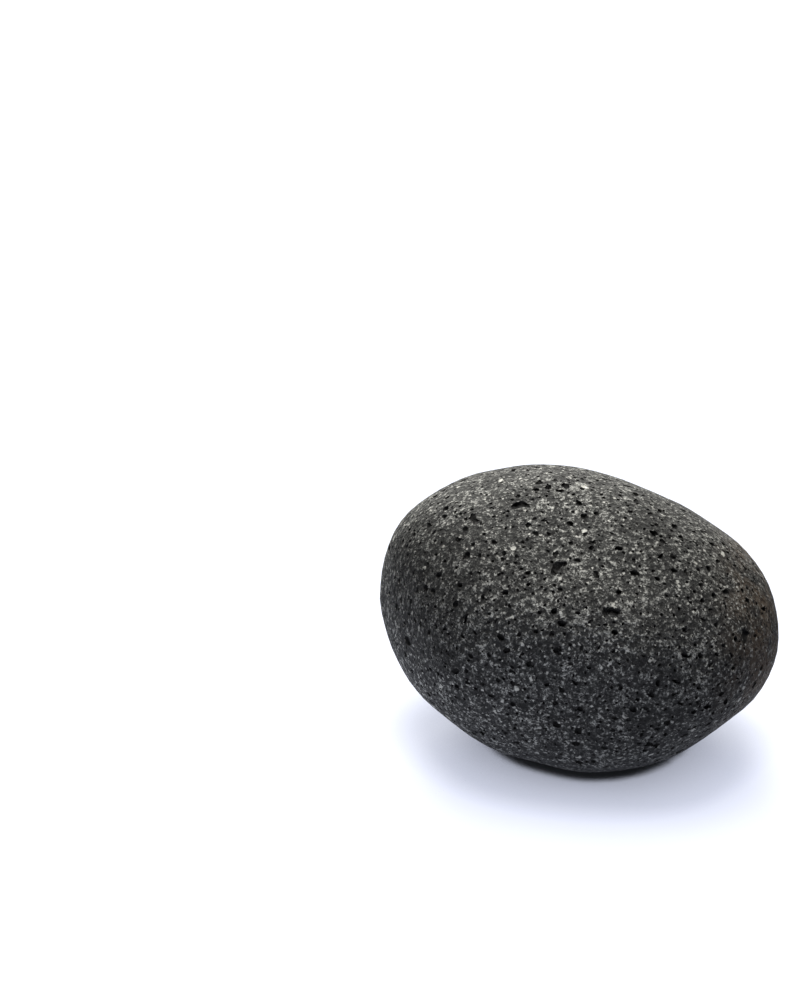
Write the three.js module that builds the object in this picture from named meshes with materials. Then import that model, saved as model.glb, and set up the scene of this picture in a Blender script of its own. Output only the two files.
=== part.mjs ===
// One tumbled pebble of vesicular basalt, given by its worn outer skin.
//
// The stone starts as a rounded blank, an ellipsoid that lies a little askew on the ground.
// Wear then cuts broad faces into it, with soft edges between them, and the ground face it
// rests on is worn truly flat.
//
// Frame: millimetres, +Z up. The origin is on the ground under the middle of the stone's
// box, +X runs along its length towards the narrow end, and -Y is its front.

import * as THREE from 'three';
import { mergeVertices } from 'three/addons/utils/BufferGeometryUtils.js';

// Driving dimensions, in millimetres and degrees.

// The blank, as half its length, breadth and thickness.
const HALF_LENGTH = 54;
const HALF_BREADTH = 44;
const HALF_THICKNESS = 37.5;

// How the blank lies: its narrow end swings to the front and dips to the ground.
const END_SWING = 12;
const END_DIP = 8;

// Height of the blank's centre over the ground. What would reach below the ground is worn off.
const CENTRE_HEIGHT = 34.5;

// Each worn face looks along a compass bearing (0 is +X, 90 is +Y) and a rise over the
// horizon, and lies at a distance from the blank's centre.
const WORN_FACES = [
  { name: 'crown', bearing: -85, rise: 64, distance: 36.5 },
  { name: 'front', bearing: -95, rise: -12, distance: 41 },
  { name: 'left cheek', bearing: 205, rise: 5, distance: 47 },
  { name: 'right shoulder', bearing: 30, rise: 62, distance: 39.5 },
  { name: 'narrow end', bearing: -10, rise: 5, distance: 55.5 },
  { name: 'under the narrow end', bearing: -35, rise: -42, distance: 45.5 },
  { name: 'under the left cheek', bearing: 215, rise: -38, distance: 48 },
  { name: 'back', bearing: 85, rise: 25, distance: 42 },
  { name: 'under the back', bearing: 100, rise: -30, distance: 43 },
  { name: 'seat', bearing: 0, rise: -90, distance: 37 },
];

// How crisp the edges between worn faces stay: 2 would melt them together, 40 would cut them.
const EDGE_CRISPNESS = 12;

// Slow swells that tumbling leaves in the skin: their height and how far apart they are.
const SWELL_HEIGHT = 0.35;
const SWELL_SPACING = 26;

// Steps along each edge of the icosahedron that the skin is spread from.
const SKIN_STEPS = 16;

const BASALT_GREY = 0x3b3c3b;

/** The unit vector along a compass bearing and a rise over the horizon. */
function direction(bearing, rise) {
  const turn = THREE.MathUtils.degToRad(bearing);
  const lift = THREE.MathUtils.degToRad(rise);
  const level = Math.cos(lift);
  return new THREE.Vector3(level * Math.cos(turn), level * Math.sin(turn), Math.sin(lift));
}

/** The blank's own long, broad and thick axes, as unit vectors. */
function blankAxes() {
  const long = direction(-END_SWING, -END_DIP);
  const broad = direction(90 - END_SWING, 0);
  const thick = new THREE.Vector3().crossVectors(long, broad);
  return { long, broad, thick };
}

/** Distance from the blank's centre to the skin, along a unit vector. */
function skinDistance(along, axes, faces) {
  const inBlank = Math.hypot(
    along.dot(axes.long) / HALF_LENGTH,
    along.dot(axes.broad) / HALF_BREADTH,
    along.dot(axes.thick) / HALF_THICKNESS,
  );
  let nearness = Math.pow(inBlank, EDGE_CRISPNESS);
  for (const face of faces) {
    const towards = Math.max(0, along.dot(face.normal));
    nearness += Math.pow(towards / face.distance, EDGE_CRISPNESS);
  }
  return Math.pow(nearness, -1 / EDGE_CRISPNESS);
}

/** Height of the swells at a point of the skin. */
function swell(point) {
  const wave = (2 * Math.PI) / SWELL_SPACING;
  const across = Math.sin(wave * point.x + 1) * Math.sin(wave * point.z + 2);
  const along = Math.sin(wave * point.y + 3) * Math.cos(wave * point.x * 0.7);
  return SWELL_HEIGHT * (across + along) * 0.5;
}

/** The stone's closed skin, resting on the ground. */
function stoneGeometry() {
  const sphere = new THREE.IcosahedronGeometry(1, SKIN_STEPS - 1);
  sphere.deleteAttribute('normal');
  sphere.deleteAttribute('uv');
  const skin = mergeVertices(sphere);
  const axes = blankAxes();
  const faces = WORN_FACES.map((face) => ({
    normal: direction(face.bearing, face.rise),
    distance: face.distance,
  }));
  const places = skin.getAttribute('position');
  const along = new THREE.Vector3();
  const point = new THREE.Vector3();
  for (let i = 0; i < places.count; i += 1) {
    along.fromBufferAttribute(places, i).normalize();
    point.copy(along).multiplyScalar(skinDistance(along, axes, faces));
    point.addScaledVector(along, swell(point));
    point.z = Math.max(0, point.z + CENTRE_HEIGHT);
    places.setXYZ(i, point.x, point.y, point.z);
  }
  skin.computeBoundingBox();
  const middle = skin.boundingBox.getCenter(new THREE.Vector3());
  skin.translate(-middle.x, -middle.y, 0);
  skin.computeVertexNormals();
  return skin;
}

/** The whole object: one stone, because it cooled and was worn as one piece. */
function lavaRock() {
  const basalt = new THREE.MeshStandardMaterial({
    color: BASALT_GREY,
    roughness: 0.85,
    metalness: 0,
  });
  const stone = new THREE.Mesh(stoneGeometry(), basalt);
  stone.name = 'lava_rock';
  const object = new THREE.Group();
  object.add(stone);
  return object;
}

export default lavaRock();
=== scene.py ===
# %% [markdown]
# # A tumbled lava stone
#
# Lava that is full of gas when it sets becomes vesicular basalt: a dark, fine-grained rock
# with thousands of small bubbles, called vesicles, and pale crystals of feldspar. Rolled in
# water for years, it wears into a smooth pebble, and each bubble that the wear meets becomes
# an open pore.
#
# This lesson follows the rock's own history. A solid skin gives the worn form, then bubbles
# are cut into it, then the mineral grain is painted with nodes.

# %% The frame: one solid that gives the stone's real form and place
import math

import bmesh
import bpy
import numpy as np
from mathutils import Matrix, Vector


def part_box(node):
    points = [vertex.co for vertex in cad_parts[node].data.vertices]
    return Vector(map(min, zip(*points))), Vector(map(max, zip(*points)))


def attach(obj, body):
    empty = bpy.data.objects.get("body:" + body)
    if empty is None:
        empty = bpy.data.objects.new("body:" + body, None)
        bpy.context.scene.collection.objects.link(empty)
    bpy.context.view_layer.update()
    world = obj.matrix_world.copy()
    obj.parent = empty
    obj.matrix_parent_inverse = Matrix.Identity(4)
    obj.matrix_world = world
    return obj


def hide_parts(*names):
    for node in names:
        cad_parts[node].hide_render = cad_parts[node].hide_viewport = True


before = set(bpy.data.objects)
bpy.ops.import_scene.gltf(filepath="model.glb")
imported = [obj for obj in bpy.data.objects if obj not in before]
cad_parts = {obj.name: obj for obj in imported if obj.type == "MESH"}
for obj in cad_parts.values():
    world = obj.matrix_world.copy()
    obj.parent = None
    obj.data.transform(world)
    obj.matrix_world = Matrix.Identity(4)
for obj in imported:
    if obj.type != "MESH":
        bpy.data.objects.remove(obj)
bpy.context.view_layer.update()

MM = 0.001
stone_low, stone_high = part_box("lava_rock")
stone_size = stone_high - stone_low
stone_centre = (stone_low + stone_high) / 2
print("the stone measures, in mm:", [round(side / MM, 1) for side in stone_size])

# %% [markdown]
# ## The worn skin
#
# The frame's solid is made of loose triangles, so a copy of it is merged into one skin. The
# solid itself stays as it is, for collision. A sculpted mesh would also do, but then the look
# and the physics would no longer be the same stone.


# %% Copy the solid's skin and merge its triangles
# Corners nearer to each other than this are one corner.
MERGE_DISTANCE = 0.001 * MM


def put(name, data):
    """A new object, linked to the scene."""
    thing = bpy.data.objects.new(name, data)
    bpy.context.scene.collection.objects.link(thing)
    return thing


def merged_copy(node, name):
    """A new object with the CAD node's mesh, its loose triangles merged into one skin."""
    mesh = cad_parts[node].data.copy()
    mesh.name = name
    shell = bmesh.new()
    shell.from_mesh(mesh)
    bmesh.ops.remove_doubles(shell, verts=shell.verts, dist=MERGE_DISTANCE)
    shell.to_mesh(mesh)
    shell.free()
    mesh.materials.clear()
    return put(name, mesh)


stone = merged_copy("lava_rock", "pitted_stone")
print("skin before any pores:", len(stone.data.polygons), "triangles")

# %% [markdown]
# ## Helpers for node trees
#
# Geometry trees and shader trees are both lists of nodes and wires. They could be drawn by
# hand in the node editor, but a script gives the same tree each time, and can be read.
#
# A few helpers keep it short. The first adds a node and fills its sockets, and wires those
# that are given another node's output. The second declares a tree's named inputs and outputs.
# The others are the three nodes that are used most: a sum on numbers, a sum on vectors, and a
# smooth step from one value to another.


# %% Helpers that build any node tree
def add(tree, kind, settings=None, **sockets):
    """Adds a node. Settings are its own properties, and each socket takes a value or a wire."""
    node = tree.nodes.new(kind)
    for name, value in (settings or {}).items():
        setattr(node, name, value)
    for name, value in sockets.items():
        key = int(name[1:]) if name[0] == "s" and name[1:].isdigit() else name.replace("_", " ")
        socket = node.inputs[key]
        if isinstance(value, bpy.types.NodeSocket):
            tree.links.new(value, socket)
        else:
            socket.default_value = value
    return node


SOCKET_KINDS = {
    "geometry": "NodeSocketGeometry",
    "float": "NodeSocketFloat",
    "int": "NodeSocketInt",
    "vector": "NodeSocketVector",
}


def new_tree(name, kind, inputs, outputs):
    """A node group with named sockets: inputs and outputs map each name to its kind."""
    tree = bpy.data.node_groups.new(name, kind)
    for direction, sockets in (("INPUT", inputs), ("OUTPUT", outputs)):
        for label, what in sockets.items():
            tree.interface.new_socket(label, in_out=direction, socket_type=SOCKET_KINDS[what])
    given = tree.nodes.new("NodeGroupInput").outputs
    result = tree.nodes.new("NodeGroupOutput").inputs
    return tree, given, result


def math_node(tree, operation, first, second=0.0):
    """One Math node, as its output socket."""
    return add(tree, "ShaderNodeMath", {"operation": operation}, s0=first, s1=second).outputs[0]


def vector_node(tree, operation, first, second=None, scale=None):
    """One Vector Math node, as its vector output. Scaling takes a number in place of a vector."""
    node = add(tree, "ShaderNodeVectorMath", {"operation": operation}, s0=first)
    for name, value in ((1, second), ("Scale", scale)):
        if isinstance(value, bpy.types.NodeSocket):
            tree.links.new(value, node.inputs[name])
        elif value is not None:
            node.inputs[name].default_value = value
    return node.outputs["Vector"]


def ramp(tree, value, low, high, to_low=0.0, to_high=1.0):
    """A smooth step of a value, from to_low at low to to_high at high."""
    return add(
        tree, "ShaderNodeMapRange", {"interpolation_type": "SMOOTHSTEP"},
        Value=value, From_Min=low, From_Max=high, To_Min=to_low, To_Max=to_high,
    ).outputs["Result"]


print("sockets can hold:", ", ".join(SOCKET_KINDS))

# %% [markdown]
# ## One size of bubble
#
# On the real rock a pore is a bubble that the surface cuts through, so it is made the same
# way: a ragged ball is placed on the skin and cut out of the stone. Painting dark dots would
# be cheaper, but a dot has no rim and no shade, and it vanishes on the outline.
#
# The tree below makes one size of bubble. It scatters points that keep a least distance,
# sets a ball of few faces on each, stretched inward, pushes every ball out of round with
# noise, and takes them all out of the stone in one boolean. Bubbles are stretched inward
# because a deep pore stays dark, and none is wider inside than at its mouth.


# %% Where the bubbles are
# Crowds of bubbles: how many fit in one least distance, and where the noise turns sparse or full.
CROWDS_PER_DISTANCE = 0.14
CROWD_EDGES = (0.35, 0.6)


def bubble_sites(tree, given):
    """Points on the skin that keep a least distance, and are crowded in some places."""
    region = add(
        tree, "ShaderNodeTexNoise", {"noise_dimensions": "4D"},
        W=given["Seed"],
        Scale=math_node(tree, "DIVIDE", CROWDS_PER_DISTANCE, given["Least distance"]),
        Detail=1.0,
    )
    sparse = math_node(tree, "SUBTRACT", 1.0, given["Crowding"])
    return add(
        tree,
        "GeometryNodeDistributePointsOnFaces",
        {"distribute_method": "POISSON"},
        Mesh=given["Skin"],
        Distance_Min=given["Least distance"],
        Density_Max=given["Density"],
        Density_Factor=ramp(tree, region.outputs[0], *CROWD_EDGES, sparse, 1.0),
        Seed=given["Seed"],
    ).outputs


print("a crowd of bubbles is about", round(1 / CROWDS_PER_DISTANCE), "least distances wide")

# %% How large each bubble is, and how it lies
# Above 1, small bubbles are commoner than large ones.
SMALL_BUBBLE_BIAS = 1.7
# Share of the radius along a ball's three axes, the third of which points inward.
LEAST_FORM = (0.8, 0.75, 0.8)
MOST_FORM = (1.25, 1.1, 1.25)
# How far a ball leans from the skin's own direction, in radians.
MOST_TILT = 0.35


def random_vector(tree, least, most, seed):
    """A random vector for each point, between two corners."""
    return add(
        tree, "FunctionNodeRandomValue", {"data_type": "FLOAT_VECTOR"},
        s0=least, s1=most, Seed=seed,
    ).outputs[0]


def bubble_size(tree, given):
    """A ball's three radii: mostly small, a little uneven, and stretched inward."""
    chance = add(tree, "FunctionNodeRandomValue", {"data_type": "FLOAT"}, Seed=given["Seed"])
    radius = add(
        tree, "ShaderNodeMapRange",
        Value=math_node(tree, "POWER", chance.outputs[1], SMALL_BUBBLE_BIAS),
        To_Min=given["Smallest radius"],
        To_Max=given["Largest radius"],
    ).outputs["Result"]
    own_seed = math_node(tree, "ADD", given["Seed"], 1.0)
    uneven = random_vector(tree, LEAST_FORM, MOST_FORM, own_seed)
    deep = add(tree, "ShaderNodeCombineXYZ", X=given["Stretch"], Y=1.0, Z=given["Depth"])
    form = vector_node(tree, "MULTIPLY", uneven, deep.outputs[0])
    return vector_node(tree, "SCALE", form, scale=radius)


def bubble_lie(tree, given, upright):
    """A ball's rotation: turned any way about the skin's direction, and tilted a little."""
    own_seed = math_node(tree, "ADD", given["Seed"], 2.0)
    least = (-MOST_TILT, -MOST_TILT, 0.0)
    most = (MOST_TILT, MOST_TILT, 2 * math.pi)
    turn = random_vector(tree, least, most, own_seed)
    spin = add(tree, "FunctionNodeEulerToRotation", Euler=turn)
    return add(
        tree, "FunctionNodeRotateRotation", {"rotation_space": "LOCAL"},
        Rotation=upright, Rotate_By=spin.outputs[0],
    ).outputs[0]


print("a bubble leans up to", round(math.degrees(MOST_TILT)), "degrees")

# %% The tree that cuts one size of bubble
# Fineness of the noise that makes a ball ragged, and the middle of that noise.
LUMPS_PER_RADIUS = 0.8
HALF_EACH_WAY = (0.5, 0.5, 0.5)


def made_ragged(tree, given, balls):
    """Real balls, pushed out of round by noise."""
    real_balls = add(tree, "GeometryNodeRealizeInstances", Geometry=balls)
    noise = add(
        tree, "ShaderNodeTexNoise",
        Scale=math_node(tree, "DIVIDE", LUMPS_PER_RADIUS, given["Largest radius"]),
        Detail=1.0,
    )
    about_zero = vector_node(tree, "SUBTRACT", noise.outputs["Color"], HALF_EACH_WAY)
    reach = math_node(tree, "MULTIPLY", given["Raggedness"], given["Largest radius"])
    return add(
        tree, "GeometryNodeSetPosition",
        Geometry=real_balls.outputs[0],
        Offset=vector_node(tree, "SCALE", about_zero, scale=reach),
    ).outputs[0]


def bubble_tree():
    """Geometry group: cuts one size of bubble out of a solid."""
    wanted = {"Solid": "geometry", "Skin": "geometry"}
    for label in (
        "Least distance", "Density", "Smallest radius", "Largest radius",
        "Stretch", "Depth", "Raggedness", "Crowding",
    ):
        wanted[label] = "float"
    wanted["Roundness"] = "int"
    wanted["Seed"] = "int"
    tree, given, result = new_tree(
        "bubbles", "GeometryNodeTree", wanted, {"Solid": "geometry"}
    )
    sites = bubble_sites(tree, given)
    ball = add(tree, "GeometryNodeMeshIcoSphere", Radius=1.0, Subdivisions=given["Roundness"])
    balls = add(
        tree, "GeometryNodeInstanceOnPoints",
        Points=sites["Points"],
        Instance=ball.outputs["Mesh"],
        Rotation=bubble_lie(tree, given, sites["Rotation"]),
        Scale=bubble_size(tree, given),
    )
    cut = add(
        tree, "GeometryNodeMeshBoolean", {"operation": "DIFFERENCE", "solver": "MANIFOLD"},
        Mesh_1=given["Solid"],
        Mesh_2=made_ragged(tree, given, balls.outputs[0]),
    )
    tree.links.new(cut.outputs["Mesh"], result["Solid"])
    return tree


bubbles = bubble_tree()
print("bubble tree:", len(bubbles.nodes), "nodes")

# %% [markdown]
# ## The whole stone
#
# Bubbles in a cooling lava come in mixed sizes: a few merged cavities, many middling ones and
# a crowd of small ones. The stone's tree therefore uses the bubble tree once for each size.
# Each size is cut by itself, because a boolean is quick and safe when its balls don't overlap.
#
# Before the cuts, the tree adds faint ripples, since no pebble is a perfect form. They fade out
# near the ground, so the seat stays flat. After the cuts it stores two facts that the finish
# needs: how deep each point lies under the skin, and which point of the skin is nearest. Last,
# the skin gets back the smooth shading that it had before it was cut, while the rims of the
# pores stay sharp. A finer skin would do that too, with four times the triangles.


# %% Sizes of the bubbles, from the few large to the many small
BUBBLE_SIZES = [
    {
        "name": "cavities",
        "Least distance": 12.0 * MM,
        "Density": 4500.0,
        "Smallest radius": 0.9 * MM,
        "Largest radius": 1.7 * MM,
        "Stretch": 1.4,
        "Depth": 0.8,
        "Raggedness": 1.6,
        "Crowding": 0.5,
        "Roundness": 3,
    },
    {
        "name": "middling",
        "Least distance": 2.9 * MM,
        "Density": 90000.0,
        "Smallest radius": 0.48 * MM,
        "Largest radius": 0.95 * MM,
        "Stretch": 1.15,
        "Depth": 1.2,
        "Raggedness": 1.5,
        "Crowding": 0.8,
        "Roundness": 2,
    },
    {
        "name": "small",
        "Least distance": 1.65 * MM,
        "Density": 300000.0,
        "Smallest radius": 0.32 * MM,
        "Largest radius": 0.56 * MM,
        "Stretch": 1.1,
        "Depth": 1.3,
        "Raggedness": 1.3,
        "Crowding": 0.6,
        "Roundness": 1,
    },
]
# Each size of bubble draws from its own seed, this far from the last.
SEED_STEP = 10.0


def pitted(tree, given, skin):
    """The solid with every size of bubble cut out of it, one size after another."""
    solid = skin
    for order, size in enumerate(BUBBLE_SIZES):
        cut = add(tree, "GeometryNodeGroup", {"node_tree": bubbles}, Solid=solid, Skin=skin)
        for label, value in size.items():
            if label != "name":
                cut.inputs[label].default_value = value
        own_seed = math_node(tree, "ADD", given["Seed"], SEED_STEP * order)
        tree.links.new(own_seed, cut.inputs["Seed"])
        solid = cut.outputs["Solid"]
    return solid


for size in BUBBLE_SIZES:
    print(size["name"] + ": radius up to", round(size["Largest radius"] / MM, 2), "mm")


# %% Ripples of the skin
RIPPLE_HEIGHT = 0.8 * MM
RIPPLE_SPACING = 12.0 * MM
# No ripples up to the first height over the ground, and full ripples from the second.
SEAT_MARGIN = 0.2 * MM
SEAT_BAND = 5.0 * MM


def rippled(tree, given):
    """The skin, with faint ripples that fade out near the ground."""
    ripple = add(
        tree, "ShaderNodeTexNoise",
        Scale=math_node(tree, "DIVIDE", 1.0, given["Ripple spacing"]), Detail=1.0,
    )
    swell = math_node(tree, "SUBTRACT", ripple.outputs[0], 0.5)
    place = add(tree, "GeometryNodeInputPosition")
    height = add(tree, "ShaderNodeSeparateXYZ", Vector=place.outputs[0]).outputs["Z"]
    off_the_ground = ramp(tree, height, SEAT_MARGIN, SEAT_BAND)
    swell = math_node(tree, "MULTIPLY", swell, given["Ripple height"])
    lift = math_node(tree, "MULTIPLY", swell, off_the_ground)
    normal = add(tree, "GeometryNodeInputNormal").outputs[0]
    return add(
        tree, "GeometryNodeSetPosition",
        Geometry=given["Skin"], Offset=vector_node(tree, "SCALE", normal, scale=lift),
    ).outputs[0]


print("the ripples fade out under a height of", round(SEAT_BAND / MM), "mm")

# %% Facts for the finish, and the shading
# An edge that bends more than this is a pore's rim, and stays sharp.
RIM_ANGLE = math.radians(50)
# A face whose middle lies nearer to the skin than this is skin, not pore wall.
SKIN_MARGIN = 0.002 * MM


def stored(tree, geometry, name, kind, value):
    """The geometry with one more attribute on its points."""
    return add(
        tree, "GeometryNodeStoreNamedAttribute", {"data_type": kind, "domain": "POINT"},
        Geometry=geometry, Name=name, Value=value,
    ).outputs[0]


def smooth_with_rims(tree, geometry):
    """Smooth faces, with sharp edges where a pore's rim bends."""
    bend = add(tree, "GeometryNodeInputMeshEdgeAngle").outputs["Unsigned Angle"]
    rim = math_node(tree, "GREATER_THAN", bend, RIM_ANGLE)
    smooth = add(
        tree, "GeometryNodeSetShadeSmooth", {"domain": "FACE"},
        Geometry=geometry, Shade_Smooth=True,
    )
    return add(
        tree, "GeometryNodeSetShadeSmooth", {"domain": "EDGE"},
        Geometry=smooth.outputs[0], Selection=rim, Shade_Smooth=False,
    ).outputs[0]


def shaded_like_skin(tree, geometry, skin, depth):
    """Gives the faces of the skin the shading that they had before the cuts."""
    face_depth = add(
        tree, "GeometryNodeFieldOnDomain", {"domain": "FACE"}, s0=depth
    ).outputs[0]
    on_skin = math_node(tree, "LESS_THAN", face_depth, SKIN_MARGIN)
    own_normal = add(tree, "GeometryNodeInputNormal").outputs[0]
    worn_normal = add(
        tree, "GeometryNodeSampleNearestSurface", {"data_type": "FLOAT_VECTOR"},
        Mesh=skin, Value=add(tree, "GeometryNodeInputNormal").outputs[0],
    ).outputs[0]
    either = add(
        tree, "GeometryNodeSwitch", {"input_type": "VECTOR"},
        s0=on_skin, s1=own_normal, s2=worn_normal,
    )
    return add(
        tree, "GeometryNodeSetMeshNormal", {"mode": "FREE", "domain": "CORNER"},
        Mesh=geometry, Custom_Normal=either.outputs[0],
    ).outputs[0]


print("a rim bends more than", round(math.degrees(RIM_ANGLE)), "degrees")

# %% The stone's tree
def stone_tree():
    """Geometry tree of the whole stone, from its closed skin to the pitted solid."""
    tree, given, result = new_tree(
        "vesicled stone",
        "GeometryNodeTree",
        {"Skin": "geometry", "Ripple height": "float", "Ripple spacing": "float", "Seed": "int"},
        {"Stone": "geometry"},
    )
    skin = rippled(tree, given)
    solid = pitted(tree, given, skin)
    nearest = add(
        tree, "GeometryNodeProximity", {"target_element": "FACES"}, s0=skin
    ).outputs
    solid = stored(tree, solid, "pore_depth", "FLOAT", nearest["Distance"])
    solid = stored(tree, solid, "skin_point", "FLOAT_VECTOR", nearest["Position"])
    solid = smooth_with_rims(tree, solid)
    solid = shaded_like_skin(tree, solid, skin, nearest["Distance"])
    real = add(tree, "GeometryNodeRealizeInstances", Geometry=solid)
    finish = add(tree, "GeometryNodeSetMaterial", Geometry=real.outputs[0])
    finish.inputs["Material"].default_value = bpy.data.materials.new("vesicular_basalt")
    tree.links.new(finish.outputs[0], result["Stone"])
    return tree


whole_stone = stone_tree()
print("stone's tree:", len(whole_stone.nodes), "nodes")

# %% Run the tree and keep its result as a plain mesh
STONE_SEED = 4


def socket_id(tree, name):
    """Identifier of a tree's input, which is what a modifier's setting goes by."""
    for item in tree.interface.items_tree:
        if item.in_out == "INPUT" and item.name == name:
            return item.identifier


def bake_tree(piece, tree, **values):
    """Runs a geometry tree on a piece and replaces the piece's mesh with the result."""
    step = piece.modifiers.new(tree.name, "NODES")
    step.node_group = tree
    for name, value in values.items():
        step[socket_id(tree, name.replace("_", " "))] = value
    evaluated = piece.evaluated_get(bpy.context.evaluated_depsgraph_get())
    mesh = bpy.data.meshes.new_from_object(evaluated)
    piece.modifiers.clear()
    old = piece.data
    piece.data = mesh
    mesh.name = piece.name
    bpy.data.meshes.remove(old)
    mesh.calc_loop_triangles()


bake_tree(
    stone, whole_stone,
    Ripple_height=RIPPLE_HEIGHT, Ripple_spacing=RIPPLE_SPACING, Seed=STONE_SEED,
)
print("pitted stone:", len(stone.data.loop_triangles), "triangles")

# %% [markdown]
# ## A map for the skin
#
# The colour pattern below needs no map, but a stone that is passed on with painted images
# does. An automatic unwrap would break the pore walls into thousands of scraps. Instead the
# skin is spread like a box round a ball: six charts, three across and two up, and each pore
# wall takes the place of the skin point that it hangs from.


# %% Six charts, chosen by the side of the box that a face looks to
# Share of its sixth of the map that a chart fills, so that charts don't touch.
CHART_FILL = 0.93


def box_map(piece, centre, half_size, layer_name):
    """Gives the piece a map of six charts around its centre."""
    mesh = piece.data
    skin_point = np.empty(len(mesh.vertices) * 3, np.float32)
    mesh.attributes["skin_point"].data.foreach_get("vector", skin_point)
    toward = (skin_point.reshape(-1, 3) - np.array(centre)) / np.array(half_size)
    corner_vertex = np.empty(len(mesh.loops), np.int32)
    mesh.loops.foreach_get("vertex_index", corner_vertex)
    starts = np.empty(len(mesh.polygons), np.int32)
    mesh.polygons.foreach_get("loop_start", starts)
    totals = np.empty(len(mesh.polygons), np.int32)
    mesh.polygons.foreach_get("loop_total", totals)
    corner = toward[corner_vertex]
    middle = np.add.reduceat(corner, starts) / totals[:, None]
    axis = np.abs(middle).argmax(axis=1)
    sign = np.sign(np.take_along_axis(middle, axis[:, None], axis=1))[:, 0]
    axis = np.repeat(axis, totals)
    sign = np.repeat(sign, totals)
    rows = np.arange(len(corner))
    # Along u and v of each chart: the box's axes in the order that suits its longer side.
    across = np.array([2, 2, 1])[axis]
    up = np.array([1, 0, 0])[axis]
    ahead = np.abs(corner[rows, axis])
    u = np.arctan2(corner[rows, across], ahead) / (math.pi / 4) * CHART_FILL
    v = np.arctan2(corner[rows, up], ahead) / (math.pi / 4) * CHART_FILL
    chart_u = (axis + 0.5 + u / 2) / 3
    chart_v = ((sign > 0) + 0.5 + v / 2) / 2
    layer = mesh.uv_layers.new(name=layer_name)
    places = np.stack([chart_u, chart_v], axis=1).astype(np.float32)
    layer.data.foreach_set("uv", places.ravel())


box_map(stone, stone_centre, stone_size / 2, "OFBake")
stone.data.attributes.remove(stone.data.attributes["skin_point"])
print("charts placed for", len(stone.data.polygons), "faces")

# %% [markdown]
# ## Mineral grains
#
# What is smaller than the cut pores is either a pale grain of some mineral or a pit where one
# fell out, whose darkness is painted shade. All of them share one recipe: cells in space with
# one grain in each, cut by the surface, so that some show large and some small. A shader group
# holds the recipe, and the stone uses it for flecks of feldspar, for the few larger crystals
# and for the pits. Cutting these too would take ten times the triangles, for shapes that hardly
# cast a shade.


# %% The grain group
# Fineness of the noise that makes a grain's outline ragged.
WOBBLES_PER_GRAIN = 0.9


def grain_group():
    """Shader group: a mask that is 1 inside a grain. Its sizes are shares of the spacing."""
    tree, given, result = new_tree(
        "mineral grains",
        "ShaderNodeTree",
        {
            "Place in mm": "vector",
            "Spacing": "float",
            "Share": "float",
            "Smallest": "float",
            "Largest": "float",
            "Softness": "float",
            "Raggedness": "float",
        },
        {"Mask": "float", "Chance": "float"},
    )
    cells_per_mm = math_node(tree, "DIVIDE", 1.0, given["Spacing"])
    scaled = vector_node(tree, "SCALE", given["Place in mm"], scale=cells_per_mm)
    wobble = add(
        tree, "ShaderNodeTexNoise",
        Vector=scaled,
        Scale=math_node(tree, "DIVIDE", WOBBLES_PER_GRAIN, given["Largest"]),
        Detail=1.0,
    )
    about_zero = vector_node(tree, "SUBTRACT", wobble.outputs["Color"], HALF_EACH_WAY)
    reach = math_node(tree, "MULTIPLY", given["Raggedness"], given["Largest"])
    shift = vector_node(tree, "SCALE", about_zero, scale=reach)
    place = vector_node(tree, "ADD", scaled, shift)
    cells = add(tree, "ShaderNodeTexVoronoi", Vector=place, Scale=1.0)
    lots = add(tree, "ShaderNodeSeparateColor", Color=cells.outputs["Color"])
    present = math_node(tree, "LESS_THAN", lots.outputs[0], given["Share"])
    radius = add(
        tree, "ShaderNodeMapRange", Value=lots.outputs[1],
        To_Min=given["Smallest"], To_Max=given["Largest"],
    ).outputs["Result"]
    inner = math_node(tree, "SUBTRACT", radius, given["Softness"])
    mask = ramp(tree, cells.outputs["Distance"], radius, inner)
    tree.links.new(math_node(tree, "MULTIPLY", mask, present), result["Mask"])
    tree.links.new(lots.outputs[2], result["Chance"])
    return tree


grains = grain_group()
print("grain group:", len(grains.nodes), "nodes")

# %% [markdown]
# ## Basalt
#
# The groundmass is nearly black, with a fine salt-and-pepper grain. Its brightness varies by
# ratios, not by steps: a fleck is as many times paler than the mean as a dark grain is darker.
# So the noises of five sizes are added up and used as an exponent, and no flat patches are
# left, as they would be where a plain ramp meets its ends.
#
# The walls of the pores are painted darker with depth, and so are the pits. This is painted shade
# in the hollows, besides the walls' own unworn colour, since no wear has bruised them. Iron in
# the rock has rusted faintly at the narrow end. Slow zones paint light and shade: the left flank,
# the lower right and the right shoulder are made darker, and the lower left and the crown paler.
# Apart from these, the colours are the rock's own, under white light, and the shading is left to
# the lamps.

# %% Colours of the basalt, as linear values
GROUNDMASS_DARK = (0.006, 0.0062, 0.0065, 1)
GROUNDMASS_PALE = (0.19, 0.192, 0.184, 1)
# Painted shade: the dark colour that pore walls and pits take.
PAINTED_HOLLOW_SHADE = (0.005, 0.005, 0.0052, 1)
FELDSPAR = (0.29, 0.29, 0.275, 1)
CRYSTAL = (0.26, 0.26, 0.243, 1)
RUST = (0.078, 0.053, 0.033, 1)


def mixed(tree, factor, below, above):
    """A colour mix: above shows where factor is 1."""
    node = add(tree, "ShaderNodeMix", {"data_type": "RGBA"}, s0=factor)
    for index, value in ((6, below), (7, above)):
        if isinstance(value, bpy.types.NodeSocket):
            tree.links.new(value, node.inputs[index])
        else:
            node.inputs[index].default_value = value
    return node.outputs[2]


print("palest grain:", CRYSTAL[:3], "darkest wall:", PAINTED_HOLLOW_SHADE[:3])

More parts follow.
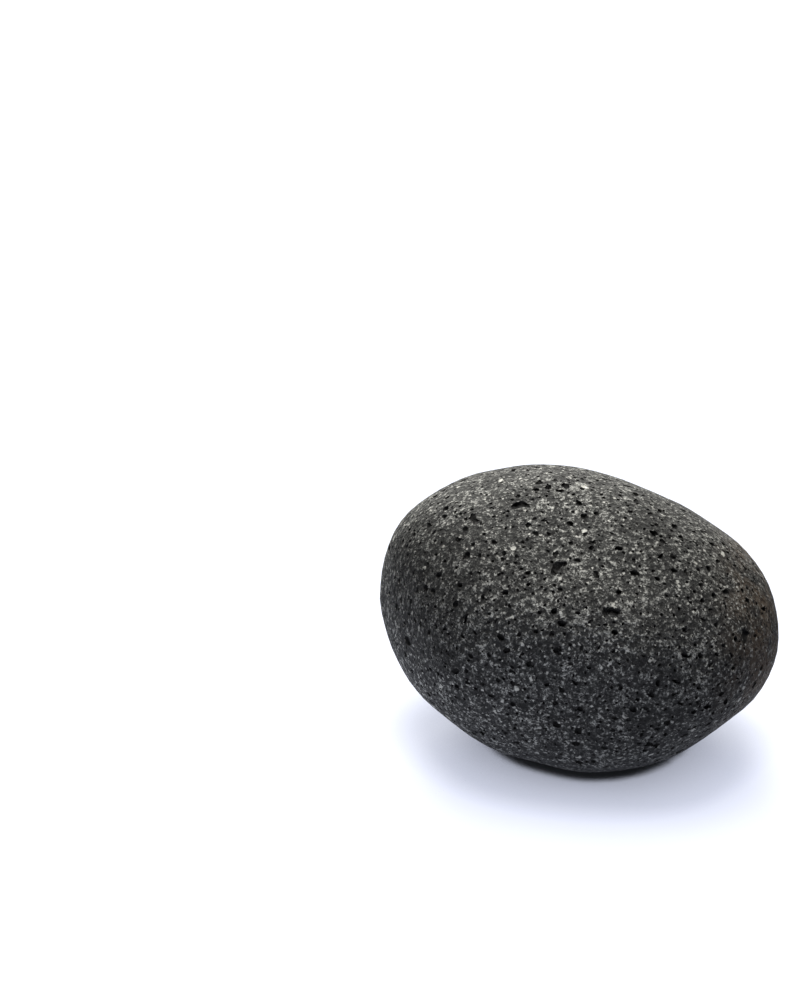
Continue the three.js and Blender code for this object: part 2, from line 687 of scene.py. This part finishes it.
# %% The groundmass, from noises of five sizes
# Each noise: its size in mm, its weight, and its detail and roughness.
GROUND_NOISES = {
    "drift": (14.0, 0.16, 2.0, 0.5),
    "patch": (4.5, 0.25, 2.0, 0.5),
    "lump": (1.4, 0.62, 1.5, 0.5),
    "speckle": (0.6, 0.52, 1.0, 0.6),
    "grit": (0.3, 0.25, 1.0, 0.5),
}
# How many times paler the ground gets for each whole unit of noise, and its tone at no noise.
GROUND_CONTRAST = 600000.0
GROUND_TONE = 0.088


def noise_of(tree, place, size_mm, detail=2.0, roughness=0.5):
    """Noise whose features are about size_mm across, as a value about 0.5."""
    noise = add(
        tree, "ShaderNodeTexNoise",
        Vector=place, Scale=1.0 / size_mm, Detail=detail, Roughness=roughness,
    )
    return noise.outputs[0]


def weighted(tree, *terms):
    """The sum of values, each times its weight."""
    total = math_node(tree, "MULTIPLY", *terms[0])
    for value, weight in terms[1:]:
        total = add(
            tree, "ShaderNodeMath", {"operation": "MULTIPLY_ADD"}, s0=value, s1=weight, s2=total
        ).outputs[0]
    return total


def groundmass(tree, place):
    """The ground colour, and the noises that it is made of, by name."""
    noises = {}
    terms = []
    for name, (size_mm, weight, detail, roughness) in GROUND_NOISES.items():
        noises[name] = noise_of(tree, place, size_mm, detail, roughness)
        terms.append((noises[name], weight))
    middle = sum(weight for noise, weight in terms) / 2
    bulk = weighted(tree, *terms, (1.0, -middle))
    ratio = math_node(tree, "POWER", GROUND_CONTRAST, bulk)
    tone = math_node(tree, "MULTIPLY", ratio, GROUND_TONE)
    share = math_node(tree, "MINIMUM", tone, 1.0)
    return mixed(tree, share, GROUNDMASS_DARK, GROUNDMASS_PALE), noises


print("sizes of the groundmass noises, in mm:", [row[0] for row in GROUND_NOISES.values()])


# %% Rust, zones of painted light and shade, and grains
# The rust sets in between these places along the stone, in mm, in patches of the next size.
RUST_FROM = 30.0
RUST_FULL = 52.0
RUST_PATCH = 7.0
RUST_PATCH_EDGES = (0.3, 0.6)
RUST_SHARE = 0.6

# Painted light and shade, zone by zone: middle and radius in mm, and how much paler or darker.
# The left flank, the lower right and the right shoulder are made darker, and the lower left and
# the crown paler.
LIGHT_AND_SHADE_ZONES = [
    ((-37, -22, 48), 20, 0.64),
    ((-43, -18, 27), 14, 1.7),
    ((22, -38, 16), 28, 0.68),
    ((27, -12, 62), 18, 0.8),
    ((-14, -8, 66), 26, 1.2),
]
# Where a zone starts and where it is full, as shares of its radius.
ZONE_START = 1.4
ZONE_FULL = 0.3

# Grains of each kind: spacing in mm, share of cells that hold one, least and most radius in mm,
# softness of the outline in mm, and how ragged it is.
FLECKS = {"spacing": 1.1, "share": 0.85, "sizes": (0.2, 0.52), "softness": 0.26, "ragged": 1.8}
PITS = {"spacing": 1.05, "share": 0.9, "sizes": (0.2, 0.55), "softness": 0.18, "ragged": 2.4}
CRYSTALS = {"spacing": 5.5, "share": 0.55, "sizes": (0.45, 1.05), "softness": 0.35, "ragged": 1.8}


def rusted(tree, place, colour):
    """Adds a faint rust towards the narrow end."""
    along = add(tree, "ShaderNodeSeparateXYZ", Vector=place).outputs["X"]
    near_end = ramp(tree, along, RUST_FROM, RUST_FULL)
    patches = ramp(tree, noise_of(tree, place, RUST_PATCH), *RUST_PATCH_EDGES)
    rusty = math_node(tree, "MULTIPLY", near_end, patches)
    return mixed(tree, math_node(tree, "MULTIPLY", rusty, RUST_SHARE), colour, RUST)


def painted_light_and_shade(tree, place, colour, centre, radius, change):
    """Paints light and shade: makes the colour paler (painted light) or darker (painted shade)
    around one place of the stone.
    """
    away = add(tree, "ShaderNodeVectorMath", {"operation": "DISTANCE"}, s0=place, s1=centre)
    share = ramp(
        tree, away.outputs["Value"], radius * ZONE_START, radius * ZONE_FULL, 1.0, change
    )
    return vector_node(tree, "SCALE", colour, scale=share)


def grain_layer(tree, place, spacing, share, sizes, softness, ragged):
    """One use of the grain group."""
    node = add(tree, "ShaderNodeGroup", {"node_tree": grains}, Place_in_mm=place)
    settings = {
        "Spacing": spacing,
        "Share": share,
        "Smallest": sizes[0] / spacing,
        "Largest": sizes[1] / spacing,
        "Softness": softness / spacing,
        "Raggedness": ragged,
    }
    for label, value in settings.items():
        node.inputs[label].default_value = value
    return node.outputs


# The zones paint light and shade onto the stone's colour.
print("zones of paler or darker lava:", len(LIGHT_AND_SHADE_ZONES))


# %% The basalt material
# Tone of the dimmest and of the brightest fleck.
FLECK_TONES = (0.15, 0.9)
# How much of the painted hollow shade a pit or a pore takes.
HOLLOW_SHADE_SHARE = 0.95
# A pore's wall is painted dark between these depths, as painted shade in the hollow.
WALL_SHADE_FROM = 0.02 * MM
WALL_SHADE_FULL = 0.3 * MM
# Roughness of the ground and of a crystal, and the ground's gloss.
GROUND_ROUGHNESS = 0.85
CRYSTAL_ROUGHNESS = 0.55
GLOSS = 0.18
# Height of one unit of relief, and the share of each part in it.
RELIEF_HEIGHT = 0.2 * MM
RELIEF = {"lump": 3.0, "speckle": 0.6, "pits": -0.8, "flecks": 0.3}


def basalt_material():
    """The stone's one material: groundmass, grains, rust, pore walls and pits in painted shade,
    zones of painted light and shade, and fine relief.
    """
    material = bpy.data.materials["vesicular_basalt"]
    material.use_nodes = True
    tree = material.node_tree
    tree.nodes.clear()
    where = add(tree, "ShaderNodeTexCoord").outputs["Object"]
    place = vector_node(tree, "SCALE", where, scale=1 / MM)
    depth = add(tree, "ShaderNodeAttribute", {"attribute_name": "pore_depth"}).outputs["Fac"]

    ground, noises = groundmass(tree, place)
    ground = rusted(tree, place, ground)

    flecks = grain_layer(tree, place, **FLECKS)
    fleck_chance = ramp(tree, flecks["Chance"], 0.0, 1.0, *FLECK_TONES)
    fleck_tone = math_node(tree, "MULTIPLY", flecks["Mask"], fleck_chance)
    no_fleck = math_node(tree, "SUBTRACT", 1.0, flecks["Mask"])
    pits = math_node(tree, "MULTIPLY", grain_layer(tree, place, **PITS)["Mask"], no_fleck)
    crystals = grain_layer(tree, place, **CRYSTALS)["Mask"]
    # Painted shade: a pore's wall darkens with its depth under the skin.
    wall_shade = ramp(tree, depth, WALL_SHADE_FROM, WALL_SHADE_FULL)

    colour = mixed(tree, fleck_tone, ground, FELDSPAR)
    # Pits take the painted hollow shade as well.
    colour = mixed(tree, math_node(tree, "MULTIPLY", pits, HOLLOW_SHADE_SHARE), colour, PAINTED_HOLLOW_SHADE)
    colour = mixed(tree, crystals, colour, CRYSTAL)
    colour = mixed(tree, math_node(tree, "MULTIPLY", wall_shade, HOLLOW_SHADE_SHARE), colour, PAINTED_HOLLOW_SHADE)
    # Painted light and shade: darker where less light falls, paler where more light falls.
    for centre, radius, change in LIGHT_AND_SHADE_ZONES:
        colour = painted_light_and_shade(tree, place, colour, centre, radius, change)

    parts = {
        "lump": noises["lump"],
        "speckle": noises["speckle"],
        "pits": pits,
        "flecks": fleck_tone,
    }
    relief = weighted(tree, *[(parts[name], share) for name, share in RELIEF.items()])
    bump = add(tree, "ShaderNodeBump", Strength=1.0, Distance=RELIEF_HEIGHT, Height=relief)
    roughness = ramp(tree, crystals, 0.0, 1.0, GROUND_ROUGHNESS, CRYSTAL_ROUGHNESS)
    surface = add(
        tree, "ShaderNodeBsdfPrincipled",
        Base_Color=colour, Roughness=roughness, Normal=bump.outputs[0], Specular_IOR_Level=GLOSS,
    )
    add(tree, "ShaderNodeOutputMaterial", Surface=surface.outputs[0])


basalt_material()
print("basalt:", len(bpy.data.materials["vesicular_basalt"].node_tree.nodes), "nodes")
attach(stone, "root")
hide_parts("lava_rock")
print("the stone stands for the CAD node lava_rock")

# %% [markdown]
# ## The sheet
#
# The stone lies on a sheet of milky plastic that is lit from above and also glows by itself. The
# glow is painted light, which keeps the sheet's shadows pale. It is weakened where the stone
# hangs low over it, which is a painted shadow, and it stops where the two nearly touch, which
# paints a thin dark line of contact. An ordinary white sheet would turn grey all round the stone.


# %% The sheet that the stone lies on
# Half of the sheet's width, in metres.
FLOOR_HALF = 8.0
FLOOR_COLOUR = (0.17, 0.173, 0.18, 1)
FLOOR_ROUGHNESS = 0.9
# Painted light: the sheet's own glow, which keeps its shadows pale.
GLOW_COLOUR = (0.86, 0.905, 1.08)
GLOW_STRENGTH = 0.8
# How low the stone must hang, in metres, to weaken the glow into painted shadow, and how fast the
# glow falls then.
GLOW_REACH = 0.016
GLOW_FALL = 0.4
# The same for the painted line of contact, and the shares of open air at its dark and its pale
# edge.
CONTACT_REACH = 0.006
CONTACT_EDGES = (0.24, 0.34)
# How many rays feel for the stone, for each of the two.
GLOW_RAYS = 8
CONTACT_RAYS = 24


def stage_card(name, corners, colour, roughness):
    """A flat card of four corners, as part of the stage, with its material's shader node."""
    mesh = bpy.data.meshes.new(name)
    mesh.from_pydata(corners, [], [(0, 1, 2, 3)])
    material = bpy.data.materials.new(name)
    material.use_nodes = True
    mesh.materials.append(material)
    card = put(name, mesh)
    shader = material.node_tree.nodes["Principled BSDF"]
    shader.inputs["Base Color"].default_value = colour
    shader.inputs["Roughness"].default_value = roughness
    shader.inputs["Specular IOR Level"].default_value = 0.0
    return card, shader


def open_air(tree, reach, rays):
    """The share of the air over the sheet that is open, up to the given reach."""
    return add(
        tree, "ShaderNodeAmbientOcclusion", {"samples": rays}, Distance=reach
    ).outputs["AO"]


def sheet_with_painted_glow():
    """The sheet, with a painted glow that the stone holds back as painted shadow and a painted
    line of contact.
    """
    sides = ((-1, -1), (1, -1), (1, 1), (-1, 1))
    corners = [(x * FLOOR_HALF, y * FLOOR_HALF, 0.0) for x, y in sides]
    sheet, shader = stage_card("floor", corners, FLOOR_COLOUR, FLOOR_ROUGHNESS)
    tree = shader.id_data
    # Painted shadow: the glow fades where the stone hangs low, and it stops at the line of
    # contact.
    spread = math_node(tree, "POWER", open_air(tree, GLOW_REACH, GLOW_RAYS), GLOW_FALL)
    apart = ramp(tree, open_air(tree, CONTACT_REACH, CONTACT_RAYS), *CONTACT_EDGES)
    share = math_node(tree, "MULTIPLY", spread, apart)
    glow = vector_node(tree, "SCALE", GLOW_COLOUR, scale=share)
    shader.inputs["Emission Strength"].default_value = GLOW_STRENGTH
    tree.links.new(glow, shader.inputs["Emission Color"])
    print("the sheet is", 2 * FLOOR_HALF, "m wide")


sheet_with_painted_glow()

# %% [markdown]
# ## The light
#
# One broad lamp overhead does most of the work. It is a sun with a wide disc, which acts like a
# great soft box and lights the sheet evenly to its far edge. A second one from behind lights
# the crown. A small card low in front fills the front side, and the sky adds very little.
#
# The bright sheet throws light up on the stone from all round, which would flatten it. Two
# black cards beside it, hidden from the camera, hold some of that light off its two ends.


# %% The lamps
def soft_lamp(name, energy, colour, disc_degrees, tilt_back, tilt_right):
    """A broad lamp overhead, tilted in degrees to shine from behind and from one side."""
    light = bpy.data.lights.new(name, "SUN")
    light.energy = energy
    light.color = colour
    light.angle = math.radians(disc_degrees)
    sideways = math.tan(math.radians(tilt_right))
    backward = math.tan(math.radians(tilt_back))
    lamp = put(name, light)
    lamp.rotation_euler = Vector((sideways, backward, 1)).to_track_quat("Z", "Y").to_euler()


def low_card(power, colour, size, place, aim):
    """A small glowing card just above the sheet."""
    light = bpy.data.lights.new("low_card", "AREA")
    light.shape = "RECTANGLE"
    light.size, light.size_y = size
    light.energy = power
    light.color = colour
    lamp = put("low_card", light)
    lamp.location = place
    lamp.rotation_euler = (Vector(place) - Vector(aim)).to_track_quat("Z", "Y").to_euler()


soft_lamp(
    "overhead", energy=7.3, colour=(1.0, 0.98, 0.93), disc_degrees=42, tilt_back=10, tilt_right=-3
)
soft_lamp(
    "rim", energy=5.2, colour=(1.0, 0.98, 0.92), disc_degrees=25, tilt_back=62, tilt_right=-20
)
low_card(
    power=0.105,
    colour=(0.93, 0.97, 1.08),
    size=(0.2, 0.05),
    place=(-0.07, -0.2, 0.03),
    aim=(0.0, 0.0, 0.03),
)

# %% The two black cards and the sky
BLACK = (0, 0, 0, 1)
FLAG_ROUGHNESS = 0.5


def black_flag(name, x, width, height, low_edge):
    """An upright black card beside the stone, unseen by the camera and casting no shadow."""
    half = width / 2
    top = low_edge + height
    corners = [(x, -half, low_edge), (x, half, low_edge), (x, half, top), (x, -half, top)]
    flag, shader = stage_card(name, corners, BLACK, FLAG_ROUGHNESS)
    flag.visible_camera = False
    flag.visible_shadow = False


def even_sky(strength, colour):
    """A weak light from all round. The camera itself sees plain white beyond the sheet."""
    world = bpy.data.worlds.new("sky")
    world.use_nodes = True
    tree = world.node_tree
    tree.nodes.clear()
    seen = add(tree, "ShaderNodeLightPath").outputs["Is Camera Ray"]
    glow = add(tree, "ShaderNodeBackground", Color=(*colour, 1), Strength=strength)
    white = add(tree, "ShaderNodeBackground", Color=(1, 1, 1, 1), Strength=1.0)
    both = add(tree, "ShaderNodeMixShader", s0=seen, s1=glow.outputs[0], s2=white.outputs[0])
    add(tree, "ShaderNodeOutputWorld", Surface=both.outputs[0])
    bpy.context.scene.world = world


black_flag("flag_left", x=-0.080, width=0.13, height=0.09, low_edge=0.032)
black_flag("flag_right", x=0.085, width=0.13, height=0.09, low_edge=0.012)
even_sky(strength=0.03, colour=(0.95, 0.98, 1.05))
print("world:", bpy.context.scene.world.name)
bpy.context.scene.view_settings.view_transform = "Standard"

# %% [markdown]
# ## The camera
#
# A fairly long lens looks down on the stone at 25 degrees. The stone lies to the right of and
# below the middle of the frame, so the camera aims past it.

# %% Camera
# Distances are in metres, from the stone's middle.
LOOK_DOWN = math.radians(25)
CAMERA_DISTANCE = 0.614
LENS_MM = 85.8
AIM_RIGHT = -0.0468
AIM_UP = 0.0271
NEAR_LIMIT = 0.01


def add_camera():
    """The camera, level, aimed up and to the left of the stone's middle."""
    back = Vector((0, -math.cos(LOOK_DOWN), math.sin(LOOK_DOWN)))
    picture_up = Vector((0, math.sin(LOOK_DOWN), math.cos(LOOK_DOWN)))
    place = stone_centre + CAMERA_DISTANCE * back
    target = stone_centre + Vector((AIM_RIGHT, 0, 0)) + AIM_UP * picture_up
    lens = bpy.data.cameras.new("camera")
    lens.lens = LENS_MM
    lens.clip_start = NEAR_LIMIT
    camera = put("camera", lens)
    camera.location = place
    camera.rotation_euler = (target - place).to_track_quat("-Z", "Y").to_euler()
    bpy.context.scene.camera = camera


add_camera()
print("the camera is", round(CAMERA_DISTANCE / MM), "mm from the stone's middle")
